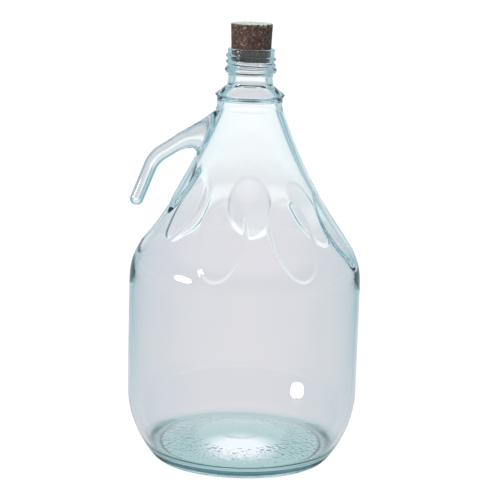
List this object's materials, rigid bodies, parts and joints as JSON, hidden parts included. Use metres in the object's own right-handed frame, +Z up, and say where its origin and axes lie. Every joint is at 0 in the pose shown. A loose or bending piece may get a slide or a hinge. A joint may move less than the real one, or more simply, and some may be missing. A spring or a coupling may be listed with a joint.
{
  "type": "glass carboy",
  "caption": "Blown glass carboy with a hook handle on its shoulder, embossed ovals, a screw finish and a tapered cork that lifts out.",
  "frame": {"origin": "on the bottle's axis, in the plane of the flat ring that the bottle stands on", "axes": "+Z up along the bottle's axis to the mouth; the hook handle points along -X"},
  "size_m": [0.1866, 0.185, 0.348],
  "materials": {
    "glass": "polished",
    "cork": "matte"
  },
  "bodies": {
    "carboy": {"glass_bottle": "glass", "hook_handle": "glass"},
    "cork": {"cork_stopper": "cork"}
  },
  "joints": [
    {"name": "cork_pull", "type": "slide", "parent": "carboy", "child": "cork", "axis": [0, 0, 1], "range_m": [0, 0.06]}
  ]
}
